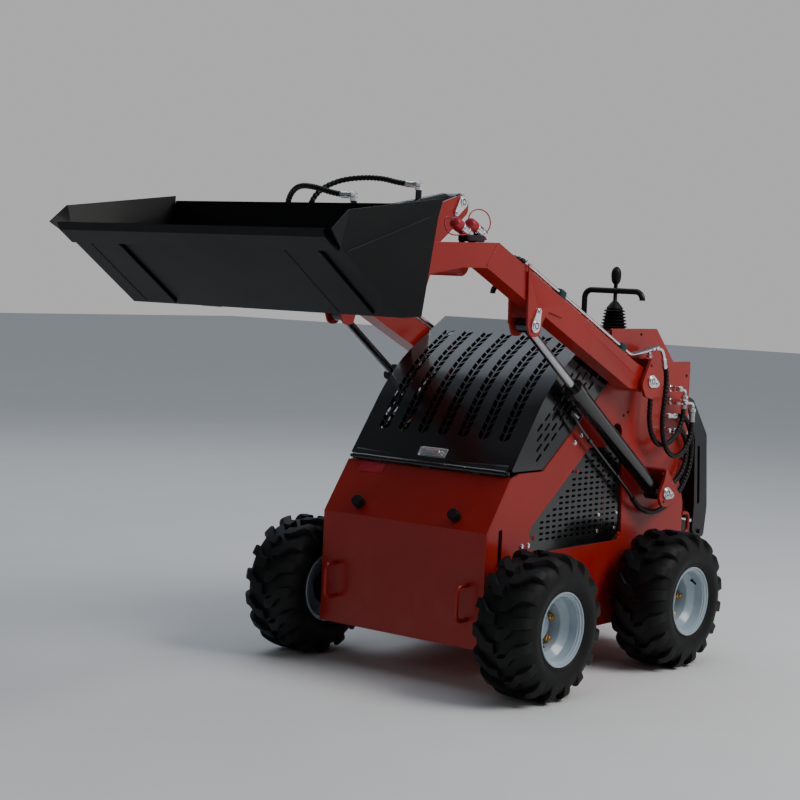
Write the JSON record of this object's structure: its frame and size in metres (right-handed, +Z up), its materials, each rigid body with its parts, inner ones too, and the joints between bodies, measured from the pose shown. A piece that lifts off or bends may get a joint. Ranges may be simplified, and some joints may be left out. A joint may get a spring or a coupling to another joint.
{
  "type": "stand-on skid steer loader",
  "caption": "Compact stand-on skid steer loader with lift arms, tilting bucket, opening hood and fold-down rear platform.",
  "frame": {"origin": "centre of the bounding box's base, on the ground", "axes": "+X to the machine's left, -Y to its front, +Z up"},
  "size_m": [1.156, 2.4345, 1.5549],
  "materials": {
    "black_paint": "gloss black paint on sheet",
    "black_rubber": "matt black moulded rubber",
    "bucket_black": "semi-gloss black paint on plate",
    "chrome_rod": "polished hard chrome",
    "cylinder_black": "gloss black paint",
    "frame_black": "satin black paint",
    "hose_rubber": "black hose cover",
    "orange_red_paint": "semi-gloss orange-red paint",
    "rim_paint": "pale silver paint",
    "tyre_rubber": "matt black tyre rubber",
    "zinc_steel": "zinc plated steel"
  },
  "bodies": {
    "chassis": {"side_plate_left": "orange_red_paint", "side_plate_right": "orange_red_paint", "nose_panel": "orange_red_paint", "nose_shelf": "orange_red_paint", "hood_hinge_bar": "frame_black", "belly_pan": "orange_red_paint", "tie_down_loops": "orange_red_paint", "hood_stops": "black_rubber", "side_grille_left": "black_paint", "side_grille_right": "black_paint", "engine_block": "frame_black", "console_shell": "orange_red_paint", "joysticks": "black_rubber", "hand_guards": "frame_black", "pivot_ears_left": "orange_red_paint", "pivot_ears_right": "orange_red_paint", "pivot_pins": "zinc_steel", "axle_front": "frame_black", "axle_rear": "frame_black", "platform_brackets": "frame_black", "bulkhead_fittings": "zinc_steel", "hose_to_arm_front": "hose_rubber", "hose_to_arm_rear": "hose_rubber", "hose_to_lift_far": "hose_rubber", "hose_to_lift_near": "hose_rubber"},
    "hood": {"hood": "black_paint"},
    "platform": {"rear_platform": "frame_black"},
    "boom": {"lift_arm_left": "orange_red_paint", "lift_arm_right": "orange_red_paint", "arm_bridge": "orange_red_paint", "tilt_base_pin": "zinc_steel", "arm_hard_tubes": "zinc_steel", "aux_couplers": "zinc_steel"},
    "lift_barrel_left": {"lift_barrel_left": "cylinder_black"},
    "lift_barrel_right": {"lift_barrel_right": "cylinder_black"},
    "lift_rod_left": {"lift_rod_left": "chrome_rod"},
    "lift_rod_right": {"lift_rod_right": "chrome_rod"},
    "tilt_barrel": {"tilt_barrel": "cylinder_black"},
    "tilt_rod": {"tilt_rod": "chrome_rod"},
    "bucket": {"quick_hitch": "bucket_black", "hitch_pins": "zinc_steel", "bucket": "bucket_black", "bucket_edge": "bucket_black", "bucket_skids": "bucket_black"},
    "wheel_front_left": {"tyre_front_left": "tyre_rubber", "rim_front_left": "rim_paint"},
    "wheel_front_right": {"tyre_front_right": "tyre_rubber", "rim_front_right": "rim_paint"},
    "wheel_rear_left": {"tyre_rear_left": "tyre_rubber", "rim_rear_left": "rim_paint"},
    "wheel_rear_right": {"tyre_rear_right": "tyre_rubber", "rim_rear_right": "rim_paint"}
  },
  "joints": [
    {"name": "wheel_front_left_spin", "type": "hinge", "parent": "chassis", "child": "wheel_front_left", "pos_m": [0.472, -0.0995, 0.23], "axis": [1, 0, 0], "continuous": true},
    {"name": "wheel_front_right_spin", "type": "hinge", "parent": "chassis", "child": "wheel_front_right", "pos_m": [-0.472, -0.0995, 0.23], "axis": [1, 0, 0], "continuous": true},
    {"name": "wheel_rear_left_spin", "type": "hinge", "parent": "chassis", "child": "wheel_rear_left", "pos_m": [0.472, 0.6745, 0.23], "axis": [1, 0, 0], "continuous": true},
    {"name": "wheel_rear_right_spin", "type": "hinge", "parent": "chassis", "child": "wheel_rear_right", "pos_m": [-0.472, 0.6745, 0.23], "axis": [1, 0, 0], "continuous": true},
    {"name": "hood_open", "type": "hinge", "parent": "chassis", "child": "hood", "pos_m": [0, -0.0785, 0.68], "axis": [1, 0, 0], "range_deg": [0, 160]},
    {"name": "platform_fold", "type": "hinge", "parent": "chassis", "child": "platform", "pos_m": [0, 1.1665, 0.396], "axis": [-1, 0, 0], "range_deg": [0, 90]},
    {"name": "boom_lift", "type": "hinge", "parent": "chassis", "child": "boom", "pos_m": [0, 0.5775, 0.966], "axis": [-1, 0, 0], "range_deg": [-44, 30]},
    {"name": "bucket_tilt", "type": "hinge", "parent": "boom", "child": "bucket", "pos_m": [0, -0.7125, 1.2], "axis": [1, 0, 0], "range_deg": [-20, 90]},
    {"name": "lift_barrel_left_turn", "type": "hinge", "parent": "chassis", "child": "lift_barrel_left", "pos_m": [0.375, 0.7135, 0.58], "axis": [-1, 0, 0], "range_deg": [-31.36, 21.7]},
    {"name": "lift_rod_left_slide", "type": "slide", "parent": "lift_barrel_left", "child": "lift_rod_left", "axis": [0, -0.8207, 0.5713], "range_m": [-0.2109, 0.1444]},
    {"name": "lift_barrel_right_turn", "type": "hinge", "parent": "chassis", "child": "lift_barrel_right", "pos_m": [-0.375, 0.7135, 0.58], "axis": [-1, 0, 0], "range_deg": [-31.36, 21.7]},
    {"name": "lift_rod_right_slide", "type": "slide", "parent": "lift_barrel_right", "child": "lift_rod_right", "axis": [0, -0.8207, 0.5713], "range_m": [-0.2109, 0.1444]},
    {"name": "tilt_barrel_turn", "type": "hinge", "parent": "boom", "child": "tilt_barrel", "pos_m": [0, -0.0225, 1.527], "axis": [1, 0, 0], "range_deg": [-2.07, 5.82]},
    {"name": "tilt_rod_slide", "type": "slide", "parent": "tilt_barrel", "child": "tilt_rod", "axis": [0, -0.9837, -0.1801], "range_m": [-0.0675, 0.2968]}
  ],
  "couplings": [
    {"joint": "lift_barrel_left_turn", "follows": "boom_lift", "ratio": 0.69},
    {"joint": "lift_rod_left_slide", "follows": "boom_lift", "m_per_rad": 0.272},
    {"joint": "lift_barrel_right_turn", "follows": "boom_lift", "ratio": 0.69},
    {"joint": "lift_rod_right_slide", "follows": "boom_lift", "m_per_rad": 0.272},
    {"joint": "tilt_barrel_turn", "follows": "bucket_tilt", "ratio": 0.0536},
    {"joint": "tilt_rod_slide", "follows": "bucket_tilt", "m_per_rad": 0.1877}
  ]
}
